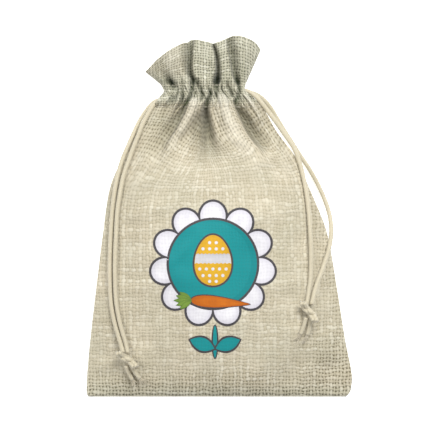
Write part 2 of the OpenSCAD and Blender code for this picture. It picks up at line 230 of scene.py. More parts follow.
def cloth_material(name, place_of, fixed_openness=None):
    """Coarse slubby cloth: place_of gives its coordinates in threads."""
    n = Nodes(name)
    place = place_of(n)
    ply_shade = n.attribute("two_ply_and_shade") if fixed_openness is None else 0.3
    openness = n.attribute("openness") if fixed_openness is None else fixed_openness
    height, tone = weave(n, place, openness)
    fibre = n.noise(place, 5.0, 3.0, 0.7)
    cloud = n.noise(place, 0.07, 3.0)
    # Darker, greener tones where the cloth is two-ply and along the bottom edge: painted shade.
    light = n.mix(ply_shade, (0.520, 0.465, 0.350), (0.470, 0.450, 0.345))
    dark = n.mix(ply_shade, (0.425, 0.370, 0.260), (0.325, 0.310, 0.220))
    pale = n.mix(ply_shade, (0.630, 0.585, 0.470), (0.610, 0.595, 0.490))
    thread = n.mix(n.spread(tone, 0.36, 0.56), dark, light)
    thread = n.mix(n.spread(tone, 0.52, 0.68), thread, pale)
    thread = n.mix(n.spread(fibre, 0.35, 0.75, 0.0, 0.4), thread, pale)
    thread = n.mix(n.spread(cloud, 0.35, 0.7, 0.0, 0.30), thread, (0.36, 0.36, 0.27))
    # Painted shade in the holes between the threads, deeper where the weave is more open.
    hole = n.mix(ply_shade, (0.150, 0.130, 0.075), (0.055, 0.060, 0.035))
    shade = n.math("ADD", 0.35, n.math("MULTIPLY", openness, 0.65))
    depth = n.math("MULTIPLY", shade, n.math("POWER", n.math("SUBTRACT", 1.0, height, clamp=True), 1.5))
    mottle_and_shade = n.mix(depth, thread, hole)
    if fixed_openness is None:
        # Painted shade deep in the folds and between the gathers, and a painted highlight high on the ridges.
        fold_shade_and_highlight = n.attribute("fold_shade_and_highlight")
        mottle_and_shade = n.mix(n.spread(fold_shade_and_highlight, 0.04, 1.0), mottle_and_shade, (0.10, 0.13, 0.08), "MULTIPLY")
        mottle_and_shade = n.mix(n.spread(fold_shade_and_highlight, -0.06, -0.40, 0.0, 0.42), mottle_and_shade, (0.74, 0.70, 0.60))
    n.surface({"Base Color": mottle_and_shade, "Roughness": 0.92, "Sheen Weight": 0.12, "Specular IOR Level": 0.15})
    n.bump(n.math("ADD", height, n.math("MULTIPLY", fibre, 0.25)), 0.00032, 0.8)
    return n.material


def threads_of(n):
    """Thread coordinates that the mesh holds."""
    return n.attribute("threads", "Vector")


def object_threads(n):
    """Thread coordinates of a flat CAD part, from its place."""
    place = n.node("TexCoord").outputs["Object"]
    return n.node("VectorMath", {0: place, "Scale": 1 / (THREAD_PITCH * MM)}, operation="SCALE").outputs[0]


def ink_material(name, colour, shade):
    """Matt ink on the same cloth: a shade towards its rim, and the weave faintly through it."""
    n = Nodes(name)
    place = threads_of(n)
    height, _ = weave(n, place, 0.5)
    rim = n.spread(n.attribute("rim"), 0.5, 1.0)
    mottle_and_shade = n.spread(n.noise(place, 0.25, 3.0), 0.4, 0.75, 0.0, 0.5)
    flat = n.mix(n.math("MAXIMUM", n.math("MULTIPLY", rim, 0.8), mottle_and_shade), colour, shade)
    # Painted shade in the dips of the weave that shows through the ink.
    depth = n.math("MULTIPLY", n.math("SUBTRACT", 1.0, height, clamp=True), 0.10)
    shown = n.mix(depth, flat, (0.05, 0.05, 0.04))
    n.surface({"Base Color": shown, "Roughness": 0.7, "Specular IOR Level": 0.2})
    n.bump(height, 0.00010, 0.5)
    return n.material


def thread_material():
    """Sewing thread, twisted finely."""
    n = Nodes("sewing_thread")
    strand = n.noise(n.node("TexCoord").outputs["Object"], 2600.0)
    colour = n.mix(n.spread(strand, 0.3, 0.7), (0.40, 0.37, 0.28), (0.60, 0.56, 0.45))
    n.surface({"Base Color": colour, "Roughness": 0.7})
    n.bump(strand, 0.00008, 0.8)
    return n.material


def cord_material(name, light, dark):
    """Smooth cord of fine fibres that follow its twist."""
    n = Nodes(name)
    fibre = n.noise(n.attribute("lay_of_cord", "Vector"), 1.0, 3.0, 0.6)
    cloud = n.noise(n.node("NewGeometry").outputs["Position"], 90.0)
    colour = n.mix(n.spread(fibre, 0.3, 0.7), dark, light)
    colour = n.mix(n.spread(cloud, 0.35, 0.7, 0.0, 0.3), colour, dark)
    n.surface({"Base Color": colour, "Roughness": 0.6, "Sheen Weight": 0.3})
    n.bump(fibre, 0.00012, 0.7)
    return n.material


# ---- smooth tables


def hermite(s, start, start_slope, end, end_slope):
    """A smooth step from start to end, at s from 0 to 1."""
    s2, s3 = s * s, s ** 3
    return (start * (2 * s3 - 3 * s2 + 1) + start_slope * (s3 - 2 * s2 + s)
            + end * (3 * s2 - 2 * s3) + end_slope * (s3 - s2))


def smooth(v, table, column=1):
    """Smooth values of a column of a table at v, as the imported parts' outline has them."""
    keys = np.array([row[0] for row in table], float)
    values = np.array([row[column] for row in table], float)
    last = len(keys) - 1
    before = np.maximum(np.arange(last + 1) - 1, 0)
    after = np.minimum(np.arange(last + 1) + 1, last)
    slopes = (values[after] - values[before]) / (keys[after] - keys[before])
    v = np.clip(np.asarray(v, float), keys[0], keys[-1])
    i = np.clip(np.searchsorted(keys, v, side="right") - 1, 0, last - 1)
    h = keys[i + 1] - keys[i]
    return hermite((v - keys[i]) / h, values[i], slopes[i] * h, values[i + 1], slopes[i + 1] * h)


def ease(v, low, high):
    """0 up to low and 1 from high, with a smooth step between them."""
    t = np.clip((np.asarray(v, float) - low) / (high - low), 0, 1)
    return t * t * (3 - 2 * t)


# ---- shape of the pouch

# y, left edge, right edge, top of the front, height of the side seam, underside of the back.
OUTLINE = [
    (-88.5, -64.6, 62.2, 3.0, 1.2, 0.0),
    (-87.4, -65.3, 63.6, 4.6, 1.25, 0.0),
    (-85.0, -65.5, 64.8, 6.6, 1.3, 0.0),
    (-78.0, -65.2, 65.3, 10.3, 2.2, 0.0),
    (-60.0, -63.5, 61.8, 16.5, 4.5, 0.0),
    (-34.0, -60.4, 57.6, 22.5, 7.0, 0.0),
    (-7.0, -57.0, 52.5, 25.5, 8.5, 0.0),
    (15.0, -53.5, 43.8, 25.6, 9.5, 0.0),
    (29.0, -47.5, 37.5, 24.6, 10.0, 0.3),
    (42.0, -41.2, 28.0, 22.8, 10.6, 1.4),
    (52.0, -35.2, 22.3, 21.6, 11.0, 2.2),
    (55.5, -31.6, 19.8, 21.3, 11.0, 2.3),
    (58.5, -29.2, 16.6, 21.0, 11.0, 2.4),
    (61.8, -27.2, 12.4, 20.8, 11.0, 2.4),
    (65.0, -28.8, 12.8, 20.4, 11.0, 2.4),
]
# How flat the top of the cross-section is, and how upright its sides are, by y.
ROUNDNESS = [(-88.5, 2.3, 1.0), (15.0, 2.3, 1.0), (42.0, 2.4, 0.85), (56.0, 2.8, 0.5), (65.0, 3.0, 0.42)]
FLAT_SHARE = 0.6        # share of the back's half width that lies flat

# The frill's top edge: share of its half width, and y.
FRILL_TOP = [
    (-1, 71.0), (-0.9, 73.6), (-0.8, 76.4), (-0.65, 79.6), (-0.5, 82.2), (-0.29, 84.8), (-0.24, 85.0),
    (-0.2, 86.0), (-0.13, 86.3), (0, 85.6), (0.13, 84.8), (0.2, 84.6), (0.38, 86.4), (0.5, 88.0),
    (0.62, 88.1), (0.73, 87.4), (0.855, 85.9), (0.93, 84.4), (1, 81.8),
]
FRILL_L, FRILL_R = -36.4, 20.2
FRILL_FRONT, FRILL_BACK = 12.4, 9.3

# Folds of the front: rows of y, x, height, and half width to the left and to the right, or to both.
# Heights below 0 are valleys, and a small half width makes a sharp edge on that side.
FOLDS = {
    "valley beside the left lobe": [
        (90, -12.2, -4.4, 3.6, 0.8), (84, -13.4, -5.4, 3.6, 0.8), (76, -14.2, -6.4, 3.0, 0.8),
        (70, -13.9, -6.4, 2.2, 0.9), (67, -12.7, -5.6, 1.3, 1.0), (62.5, -13.3, -3.4, 1.0, 0.9),
        (58.5, -14.3, -3.8, 1.0, 0.7), (55.5, -15.7, -5.4, 2.0, 0.7), (52, -17.0, -6.8, 3.2, 0.7),
        (46.7, -19.5, -6.6, 5.6, 0.7), (41.4, -22.7, -5.8, 6.4, 0.8), (36, -26.1, -4.0, 6.8, 1.0),
        (31, -28.8, -1.8, 6.0, 1.6), (25, -32.0, 0, 6.0, 2.5)],
    "valley between the middle pleat and the narrow one": [
        (90, -3.8, -4.0, 0.7), (84.6, -3.1, -5.2, 0.8), (79, -1.5, -5.4, 0.8, 0.9), (72, -0.8, -6.2, 1.0),
        (66.5, -1.3, -8.2, 1.5), (64.5, -1.6, -5.4, 1.2), (61.5, -1.6, -3.2, 0.8), (59, -1.5, -3.2, 0.8),
        (57, -1.1, 0, 0.8)],
    "hollow below the middle of the neck": [
        (65, -3.7, 0, 0.8), (62, -4.1, -2.2, 0.8), (59, -4.8, -3.4, 0.8), (56.5, -5.9, -4.6, 0.9),
        (54.0, -6.6, -6.2, 1.6, 1.0), (51, -6.2, -7.4, 3.0, 1.0), (46.6, -5.6, -8.0, 6.4, 1.4),
        (40, -5.0, -6.9, 8.6, 2.2), (34, -5.4, -4.8, 9.8, 4.2), (27, -7.0, -1.8, 10, 8), (18, -9.5, 0, 10)],
    "valley beside the narrow pleat": [
        (90, 3.4, -3.0, 0.8, 2.6), (84.6, 4.4, -4.6, 0.8, 2.8), (76, 6.0, -5.4, 0.8, 2.8),
        (70, 7.1, -5.6, 0.9, 2.2), (65.5, 8.7, -5.0, 0.9, 1.4), (62, 9.7, -2.8, 0.8, 0.9),
        (58.5, 8.9, -3.4, 0.7, 0.9), (56.1, 7.4, -5.2, 0.6, 2.0), (49.1, 10.2, -7.4, 0.6, 4.2),
        (41.1, 14.0, -7.4, 0.6, 6.8), (36.5, 17.2, -5.8, 0.7, 8.4), (33.0, 20.6, -3.6, 1.0, 7.0),
        (29.6, 23.4, 0, 1.6, 5.0)],
    "crevice left of the middle of the neck": [
        (68, -11.0, 0, 0.8), (65.3, -10.8, -2.8, 0.8), (62, -9.6, -3.0, 0.8), (59.4, -8.2, -2.8, 0.8),
        (57.2, -8.8, -2.4, 0.8), (55.4, -9.6, 0, 0.8)],
    "crevice right of the middle of the neck": [
        (66.5, 3.6, 0, 0.8), (63.8, 4.2, -2.6, 0.8), (61, 5.6, -3.0, 0.8), (59, 6.2, -2.4, 0.8),
        (57.6, 6.0, 0, 0.8)],
    "crevice at the left of the neck": [
        (64.5, -18.0, 0, 0.8), (61.5, -18.4, -2.2, 0.8), (58.5, -18.2, -2.4, 0.8),
        (54.5, -19.6, -2.2, 1.1, 0.9), (49, -23.0, 0, 1.6, 1.4)],
    "hollow outside the neck on the left": [
        (61, -23.6, 0, 1.4), (58, -22.9, -2.4, 1.8, 1.2), (54, -24.4, -2.6, 2.2, 1.8), (48, -28.0, -1.6, 3.0),
        (40, -33, 0, 4)],
    "left ridge": [
        (58.6, -11.4, 0, 2.0), (57.2, -11.5, 2.6, 2.8, 3.0), (54.4, -12.1, 4.4, 2.8, 3.0),
        (52, -12.9, 3.8, 3.0), (46.7, -15.5, 3.6, 2.9, 3.0), (41.4, -18.9, 3.2, 2.8, 3.0),
        (36, -22.2, 2.4, 2.8, 3.2), (30.6, -25.2, 1.6, 3.0, 3.6), (24, -29.4, 0.8, 3.6, 5), (14, -35, 0, 6)],
    "broad pleat": [
        (60.4, 1.4, 0, 2.8, 2.6), (59.0, 1.2, 2.8, 3.6, 3.0), (56.0, 1.5, 4.6, 4.0, 3.6),
        (46.6, 4.6, 4.2, 4.4, 4.2), (39.1, 8.4, 4.0, 5.4, 4.6), (31.6, 14.0, 2.6, 7.0, 4.6),
        (22, 18, 1.0, 9, 8), (10, 20, 0, 11)],
    "small pleats on the right slope": [
        (62, 11.0, 0, 0.9), (58, 13.4, 2.4, 1.0, 1.1), (52, 17.6, 2.6, 1.2, 1.3), (48, 20.0, 1.6, 1.5),
        (45, 21.8, 0, 2)],
    "lower edge of the hollow on the right": [
        (42, 28, 0, 3), (36.5, 27.6, 1.6, 3.4, 3), (31, 25.0, 1.6, 4.0), (24, 23, 0, 5)],
    "under the left lobe": [
        (72, -27.5, 0, 2), (68.5, -25.4, -2.6, 2.4, 1.6), (65.6, -23.4, -4.6, 2.6, 1.6),
        (62, -22.2, -2.0, 1.6, 1.2), (60, -22, 0, 1.4, 1.2)],
    "left lobe": [
        (90, -24, 3.2, 8, 7), (78, -23, 3.0, 7, 6), (68, -19.5, 1.0, 4), (64, -18.5, 0, 3)],
    "right lobe": [
        (90, 13, 1.6, 5), (78, 13.0, 1.4, 4), (68, 12, 0, 3)],
}
FOLD_RUNS_OUT = 88      # a fold with rows above this y runs out over the frill's edge


def across(c, y):
    """x of the share c, from -1 at the left edge to 1 at the right, at y of the body."""
    left, right = smooth(y, OUTLINE, 1), smooth(y, OUTLINE, 2)
    return (left + right) / 2 + (right - left) / 2 * c


def share_across(x, y):
    """The share that across() makes x from."""
    left, right = smooth(y, OUTLINE, 1), smooth(y, OUTLINE, 2)
    return (x - (left + right) / 2) / ((right - left) / 2)


def crown_of(c, y, steeper=0.0):
    """How high the cross-section stands at share c: 1 in the middle and 0 at the seams."""
    return (1 - np.abs(c) ** smooth(y, ROUNDNESS, 1)) ** (smooth(y, ROUNDNESS, 2) + steeper)


def inside_of(c):
    """0 at the seams, where there are no folds, and 1 a little way in."""
    return np.clip((1 - np.abs(c)) * 6, 0, 1)


def blended(table, row, column, soften=lambda share: share):
    """A table's value between its rows and columns."""
    i = np.minimum(row.astype(int), table.shape[0] - 2)
    j = np.minimum(column.astype(int), table.shape[1] - 2)
    s, t = soften(row - i), soften(column - j)
    if table.ndim == 3:
        s, t = s[..., None], t[..., None]
    return ((1 - s) * ((1 - t) * table[i, j] + t * table[i, j + 1])
            + s * ((1 - t) * table[i + 1, j] + t * table[i + 1, j + 1]))


def folds(x, y):
    """Height that the folds of the front add at a place."""
    total = np.zeros_like(x)
    for rows in FOLDS.values():
        rows = sorted((*row, row[-1])[:5] for row in rows)
        low, high = rows[0][0], rows[-1][0]
        height = np.where((y > low) & ((y < high) | (high > FOLD_RUNS_OUT)), smooth(y, rows, 2), 0)
        gap = x - smooth(y, rows, 1)
        width = np.where(gap < 0, smooth(y, rows, 3), smooth(y, rows, 4))
        total += height * np.exp(-0.9 * np.abs(gap / width) ** 2.2)
    return total


def ridged(phase):
    """Rounded ridges with sharp creases between them, about 0."""
    return np.abs(np.sin(phase)) ** 0.55 - 0.72


# Gathers of the neck: how many across it, phase, size and lean.
GATHERS = [(9, 0.4, 0.9, 0.10), (15, 1.9, 1.0, -0.13), (23, 0.9, 0.55, 0.09)]
WAVER = [(rng.uniform(0, 2 * math.pi), rng.uniform(0, 2 * math.pi)) for _ in range(6)]


def waver(c, y, k):
    """A slow sideways drift, so that no gather is straight or like the next."""
    a, b = WAVER[k]
    return 0.035 * np.sin(5.3 * c + a + 0.21 * y) + 0.022 * np.sin(11.7 * c + b - 0.37 * y)


def puckers(c, y, side):
    """Small gathers that run through the drawn neck and fade into the shoulders and the frill."""
    neck = 0.8 * ease(y, 50, 57) * (1 - ease(y, 63, 69))
    spread_out = 0.30 * ease(y, 26, 52) * (1 - ease(y, 65, 80))
    total = np.zeros_like(c)
    for k, (count, phase, size, lean) in enumerate(GATHERS):
        turn = math.pi * count * (c + waver(c, y, k + 3 * (side < 0)) + lean * (y - 60) / 20)
        share = neck + spread_out * (1.0 if k == 0 else 0.45)
        total += size * ridged(turn / 2 + phase + 1.3 * (side < 0)) * share
    return 1.9 * total * (1 - np.abs(c) ** 6)


RIPPLES = [(rng.uniform(0, math.pi), rng.uniform(0, 2 * math.pi), wave, size)
           for wave, size in ((62, 0.5), (47, 0.45), (34, 0.35), (25, 0.22), (17, 0.12), (12, 0.07))]


def ripples(x, y):
    """Slack in the body of the cloth."""
    total = np.zeros_like(x)
    for turn, phase, wave, size in RIPPLES:
        along = x * math.cos(turn) + y * math.sin(turn)
        total += size * np.sin(2 * math.pi * along / wave + phase)
    return total


def slit(y, middle):
    """How far the slit in the side of the channel gapes at y, from 0 to 1."""
    return np.clip(1 - ((y - middle) / 3.4) ** 2, 0, 1) ** 0.8


SLIT_GAPE = 7.0         # from the seam to the slit's edge over a cord


def seam_height(c, y, side):
    """Height of a side seam, which opens round the cord at the channel."""
    gape = np.where(c < 0, slit(y, LEFT_CORD_Y), slit(y, RIGHT_CORD_Y))
    return smooth(y, OUTLINE, 4) + side * SLIT_GAPE * gape


CHANNEL_TOP = 18.0      # outside of the ply that lies on the drawcords


def soft_floor(gap):
    """The gap where it is large, and a small one left where it would be below 0."""
    return 0.5 * (gap + np.sqrt(gap * gap + 0.25))


def front_height(x, y, c):
    edge = seam_height(c, y, 1) + CLOTH_T
    top = np.maximum(smooth(y, OUTLINE, 3), edge + 0.3)
    inside = inside_of(c)
    slack_here = ease(y, BOTTOM_Y, -76) * (1 - ease(y, 48, 58))
    relief = folds(x, y) + puckers(c, y, 1) + ripples(x, y) * slack_here
    z = edge + (top - edge) * crown_of(c, y) + relief * inside ** 0.8
    # The channel's outer ply lies on the drawcords.
    covered = ease(y, 47.0, 56.2) * (1 - ease(y, 63.0, 66.0)) * inside
    least = (edge * 0.9 + 0.2) * (1 - covered) + CHANNEL_TOP * covered
    return least + soft_floor(z - least)


def back_height(x, y, c):
    edge = seam_height(c, y, -1) - CLOTH_T
    low = np.maximum(smooth(y, OUTLINE, 5), 0)
    s = np.clip((np.abs(c) - FLAT_SHARE) / (1 - FLAT_SHARE), 0, 1)
    body = low + (edge - low) * s * s
    neck = edge - (edge - low) * crown_of(c, y)
    share = ease(y, 30, 55)
    relief = 0.7 * (puckers(c, y, -1) + share) * (1 - np.abs(c) ** 4)
    return body * (1 - share) + neck * share + relief


def frill_sheet(c, v, side, inset=0.0):
    """A point of the frill, at share c across and share v of its height."""
    rim = smooth(c, FRILL_TOP)
    if side < 0:
        rim = rim - 1.6 * (1 - c * c) - 0.4 * np.sin(9 * c)
    y = NECK_TOP + (rim - NECK_TOP) * v
    left = smooth(NECK_TOP, OUTLINE, 1) * (1 - v) + FRILL_L * v
    right = smooth(NECK_TOP, OUTLINE, 2) * (1 - v) + FRILL_R * v
    x = (left + right) / 2 + (right - left) / 2 * c * (1 - inset / 28)
    crown = crown_of(c, NECK_TOP, 0.1 * v)
    if side > 0:
        swell = smooth(NECK_TOP, OUTLINE, 3) - NECK_Z
        height = swell + (FRILL_FRONT - swell) * ease(v, 0, 1)
        relief = (folds(x, y) + puckers(c, y, 1)) * inside_of(c) ** 0.8
        z = NECK_Z + 0.4 + (height - inset) * crown + relief
        z = np.maximum(z, NECK_Z + 0.9 - inset)
    else:
        swell = NECK_Z - 2.6
        height = swell + (FRILL_BACK - swell) * v
        depth = 0.25 * (1 - np.cos(math.pi * 9 * c)) * (0.8 + 2.6 * v) * (1 - np.abs(c) ** 3)
        z = NECK_Z - 0.4 - (height - inset - depth) * crown
    return x, y, z


# ---- meshes


def new_object(name, points, faces, material):
    """A piece from points in millimetres."""
    mesh = bpy.data.meshes.new(name)
    mesh.from_pydata([tuple(p) for p in np.asarray(points, float) * MM], [], faces)
    mesh.materials.append(material)
    mesh.polygons.foreach_set("use_smooth", [True] * len(mesh.polygons))
    mesh.update()
    piece = placed(name, mesh)
    return piece


def grid_faces(rows, columns, flip=False, closed=False):
    faces = []
    for i in range(rows - 1):
        for j in range(columns - (0 if closed else 1)):
            k = (j + 1) % columns
            quad = (i * columns + j, i * columns + k, (i + 1) * columns + k, (i + 1) * columns + j)
            faces.append(quad[::-1] if flip else quad)
    return faces


def grid_object(name, points, material, flip=False, closed=False):
    """A piece from a grid of points."""
    faces = grid_faces(*points.shape[:2], flip=flip, closed=closed)
    return new_object(name, points.reshape(-1, 3), faces, material)


def set_data(piece, name, values, kind="FLOAT", key="value"):
    """A named number at each point of a piece, for its material."""
    layer = piece.data.attributes.new(name, kind, "POINT")
    layer.data.foreach_set(key, np.ascontiguousarray(values, np.float32).ravel())


def set_vectors(piece, name, values):
    """A named place at each point of a piece."""
    set_data(piece, name, values, "FLOAT_VECTOR", "vector")


# Ridges that the threads of the shoulders run along, and the valleys between those ridges: rows of y and x.
RIDGES = [
    [(0, -37.5), (14, -35.0), (24, -29.4), (36, -22.2), (46.7, -15.5), (54.1, -12.1)],
    [(0, 21.0), (14, 19.6), (24, 17.4), (31.6, 14.0), (39.1, 8.4), (46.6, 4.6), (54.1, 2.0)],
    [(0, 43.5), (14, 41.5), (24, 38.0), (31.6, 33.6), (42.0, 26.4), (54.1, 19.0)],
]
VALLEYS = [[(20, -9.0), (40, -7.6), (54.1, -6.6)], [(20, 26.0), (33.0, 20.6), (41.1, 13.4), (54.1, 7.4)]]
REACH = 10              # how far from a ridge its lean still tells
FRILL_PITCH = 1.35      # the two plies of the frill show a finer weave


def shoulder_threads(x, y):
    """Cloth coordinates of the body, in millimetres: threads turn to run along the ridges they lie on."""
    narrow = 0.7 + 7 * (1 - ease(y, 10, 36))
    shares = [1 / (1 + np.exp(-(x - smooth(y, rows)) / narrow)) for rows in VALLEYS]
    weights = [1 - shares[0], shares[0] * (1 - shares[1]), shares[0] * shares[1]]
    u, v = np.zeros_like(x), np.zeros_like(x)
    turned = ease(y, 4, 36)
    for weight, rows in zip(weights, RIDGES):
        ridge = smooth(y, rows)
        lean = (smooth(y + 1, rows) - smooth(y - 1, rows)) / 2
        u += weight * (x - (ridge - rows[0][1]))
        v += weight * (y + lean * turned * REACH * np.tanh((x - ridge) / REACH))
    return u, v


def thread_places(points):
    """Cloth coordinates, in threads, of a grid of points: rows run up the cloth, columns across it."""
    step = np.hypot(np.diff(points[:, :, 0], axis=1), 0.2 * np.diff(points[:, :, 2], axis=1))
    along = np.concatenate([np.zeros((len(points), 1)), np.cumsum(step, axis=1)], axis=1)
    u = along - along[:, -1:] / 2
    rise = np.median(np.linalg.norm(np.diff(points, axis=0)[:, :, 1:], axis=2), axis=1)
    v = np.concatenate([[0], np.cumsum(rise)])[:, None] + np.zeros_like(u)
    places = np.stack([u, v, np.zeros_like(u)], axis=2) / FRILL_PITCH
    body = points[:, 0, 1] < LOWER_ROW_Y
    flat_u, flat_v = shoulder_threads(points[body, :, 0], points[body, :, 1])
    places[body, :, 0], places[body, :, 1] = flat_u / WARP_PITCH, flat_v / THREAD_PITCH
    return places


def openness_of(x, y):
    """How open the weave looks: most along the bottom, at the right corner, the shoulders and the mouth."""
    bottom = ease(-y, 68, 86)
    corner = 1 - ease(np.hypot(x - 62, (y + 88) * 0.7), 12, 34)
    right_edge = ease(x - smooth(y, OUTLINE, 2), -12, -3) * (1 - ease(y, 10, 40)) * 0.4
    top = 0.75 * ease(y, 16, 44) + 0.1 * ease(y, 60, 72)
    return 0.18 + 0.82 * np.clip(np.maximum.reduce([bottom, corner, right_edge, top]), 0, 1)


# Painted shade of the cloth in its folds and painted highlight on its ridges, for its colour.
def crease_of(points, side):
    """How deep in a fold or between two gathers a point lies, to 1, or how high on a ridge, to -1."""
    x, y = points[:, :, 0], points[:, :, 1]
    left, right = x[:, :1], x[:, -1:]
    c = (2 * x - left - right) / (right - left)
    depth = -folds(x, y) / (14 - 9 * ease(y, 51, 57) * (1 - ease(y, 66, 72))) if side > 0 else 0
    gathers = np.clip(-puckers(c, y, side) / 2.6, 0, 1) * (1 - 0.6 * ease(y, 66, 72))
    return np.clip(depth + gathers, -1, 1)


def add_thickness(piece):
    """One ply of cloth, inwards from the mesh."""
    modifier = piece.modifiers.new("ply", "SOLIDIFY")
    modifier.thickness = CLOTH_T * MM
    modifier.offset = -1.0
    modifier.use_even_offset = False


# ---- slack of the front, by cloth simulation


SLACK_SCALE = 10        # the trial cloth is this much larger than the pouch, as the solver expects
SLACK_STEPS = 20
SLACK_GROWTH = 0.04     # share by which its threads are longer than the surface it is held to
SLACK_SHARE = 0.7       # how much of the height of its folds is kept
SLACK_MOST = 1.1        # and the most that a fold may rise or sink
SLACK_LOW, SLACK_HIGH = -84, 50
SLACK_ROWS, SLACK_COLUMNS = 100, 76
STIFFNESS = 40          # of the trial cloth's threads
CORD_RELIEF = 4.5       # the cloth stays flat about as far as this from the cords


def evened(table, times):
    """The table with each value drawn towards its neighbours, so many times over."""
    for _ in range(times):
        p = np.pad(table, 1, mode="edge")
        table = (p[:-2, 1:-1] + p[2:, 1:-1] + p[1:-1, :-2] + p[1:-1, 2:] + 4 * table) / 8
    return table


def away_from_cords(x, y):
    """1 where the cloth is free, and 0 under the cords, knots and tails that lie on it."""
    places = [knot[0] for knot in KNOTS.values()]
    for route in [*ROUTES.values(), *TAILS["left"], *TAILS["right"]]:
        places += list(even(spline(route), 2.0)[0])
    nearest = np.min([np.hypot(x - place[0], y - place[1]) for place in places], axis=0)
    return 1 - np.exp(-(nearest / CORD_RELIEF) ** 2)


def settled_folds():
    """The small folds that cloth a little larger than its outline settles into, as a table of heights."""
    c, y = np.meshgrid(np.linspace(-1, 1, SLACK_COLUMNS), np.linspace(SLACK_LOW, SLACK_HIGH, SLACK_ROWS))
    x = across(c, y)
    points = np.stack([x, y, front_height(x, y, c)], axis=2).reshape(-1, 3)
    mesh = bpy.data.meshes.new("trial_cloth")
    mesh.from_pydata((points * MM * SLACK_SCALE).tolist(), [], grid_faces(SLACK_ROWS, SLACK_COLUMNS))
    trial = placed("trial_cloth", mesh)
    order = np.arange(SLACK_ROWS * SLACK_COLUMNS).reshape(SLACK_ROWS, SLACK_COLUMNS)
    border = np.concatenate([order[0], order[-1], order[:, 0], order[:, -1]])
    trial.vertex_groups.new(name="held").add([int(i) for i in border], 1.0, "REPLACE")
    cloth = trial.modifiers.new("cloth", "CLOTH")
    for key, value in {
        "quality": 5, "mass": 0.3, "air_damping": 3, "tension_stiffness": STIFFNESS,
        "compression_stiffness": STIFFNESS, "shear_stiffness": STIFFNESS / 3, "bending_stiffness": 0.02,
        "vertex_group_mass": "held", "shrink_min": -SLACK_GROWTH,
    }.items():
        setattr(cloth.settings, key, value)
    cloth.settings.effector_weights.gravity = 0
    cloth.point_cache.frame_start, cloth.point_cache.frame_end = 1, SLACK_STEPS
    stage = bpy.context.scene
    for step in range(1, SLACK_STEPS + 1):
        stage.frame_set(step)
    settled = trial.evaluated_get(bpy.context.evaluated_depsgraph_get()).to_mesh()
    found = np.zeros(len(points) * 3, np.float32)
    settled.vertices.foreach_get("co", found)
    rise = (found.reshape(-1, 3)[:, 2] / (MM * SLACK_SCALE) - points[:, 2]).reshape(order.shape)
    bpy.data.objects.remove(trial)
    bpy.data.meshes.remove(mesh)
    stage.frame_set(1)
    small = evened(rise, 2) - evened(rise, 60)
    fade = (1 - np.abs(c) ** 10) * ease(y, SLACK_LOW, -78) * (1 - ease(y, 36, SLACK_HIGH))
    return np.clip(SLACK_SHARE * small, -SLACK_MOST, SLACK_MOST) * fade * away_from_cords(x, y)


def slack(c, y):
    """Height of the settled folds at share c and height y of the front."""
    table = settled_folds()
    row = np.clip((y - SLACK_LOW) / (SLACK_HIGH - SLACK_LOW), 0, 1) * (SLACK_ROWS - 1)
    column = (c + 1) / 2 * (SLACK_COLUMNS - 1)
    return blended(table, row, column, lambda share: ease(share, 0, 1))


SEAM_GAP = 0.06         # from the seam plane to each cloth's sewn edge


def cloth_side(name, side, columns, body_rows, neck_rows, frill_rows, material):
    """One side of the pouch as a single cloth: body, channel and frill."""
    u = np.linspace(0, 1, columns)
    c = np.sign(u - 0.5) * np.abs(2 * u - 1) ** 0.9
    ys = np.concatenate([np.linspace(BOTTOM_Y, -80, 10, endpoint=False),
                         np.linspace(-80, BODY_TOP, body_rows, endpoint=False),
                         np.linspace(BODY_TOP, NECK_TOP, neck_rows)])
    grid_c, grid_y = np.meshgrid(c, ys)
    x = across(grid_c, grid_y)
    z = (front_height if side > 0 else back_height)(x, grid_y, grid_c)
    if side > 0:
        z = z + slack(grid_c, grid_y)
    closed = seam_height(grid_c, grid_y, side) + side * SEAM_GAP
    z[:, 0], z[:, -1], z[0] = closed[:, 0], closed[:, -1], closed[0]
    body = np.stack([x, grid_y, z], axis=2)
    fc, fv = np.meshgrid(c, np.linspace(0, 1, frill_rows + 1)[1:])
    frill = np.stack(frill_sheet(fc, fv, side), axis=2)
    points = np.concatenate([body, frill], axis=0)
    points = soften_join(points, len(body))
    piece = grid_object(name, points, material, flip=side < 0)
    x, y = points[:, :, 0], points[:, :, 1]
    set_vectors(piece, "threads", thread_places(points))
    # Painted shade: darker over the two plies of the channel and frill and along the bottom edge.
    # The left lobe gets only half of it, as painted light.
    left_lobe = ease(y, 66, 71) * ease(-x, 13, 19)
    set_data(piece, "two_ply_and_shade", ease(y, 53.5, 58) * (1 - 0.5 * left_lobe) + 0.55 * ease(-y, 80, 88))
    set_data(piece, "openness", openness_of(x, y))
    # Painted shade in the folds and painted highlight on the ridges.
    set_data(piece, "fold_shade_and_highlight", crease_of(points, side))
    add_thickness(piece)
    return piece, points


def soften_join(points, row):
    """Evens out the rows where the channel meets the frill."""
    for _ in range(6):
        low, high = row - 4, row + 4
        points[low:high] = (points[low - 1:high - 1] + 2 * points[low:high] + points[low + 1:high + 1]) / 4
    return points


class FrontSurface:
    """The body of the front cloth, to lay things on: heights and cloth coordinates by place."""

    def __init__(self, piece, points):
        rows = int(np.sum(points[:, 0, 1] <= BODY_TOP))
        self.ys = points[:rows, 0, 1]
        self.z = points[:rows, :, 2]
        self.c = share_across(points[0, :, 0], self.ys[0])
        data = np.zeros(len(piece.data.vertices) * 3, np.float32)
        piece.data.attributes["threads"].data.foreach_get("vector", data)
        self.threads = data.reshape(points.shape)[:rows]

    def at(self, x, y):
        """Height of the cloth, and its thread coordinates, at places x and y."""
        row = np.interp(y, self.ys, np.arange(len(self.ys)))
        column = np.interp(np.clip(share_across(x, y), -1, 1), self.c, np.arange(len(self.c)))
        return blended(self.z, row, column), blended(self.threads, row, column)


# ---- hems and sewing


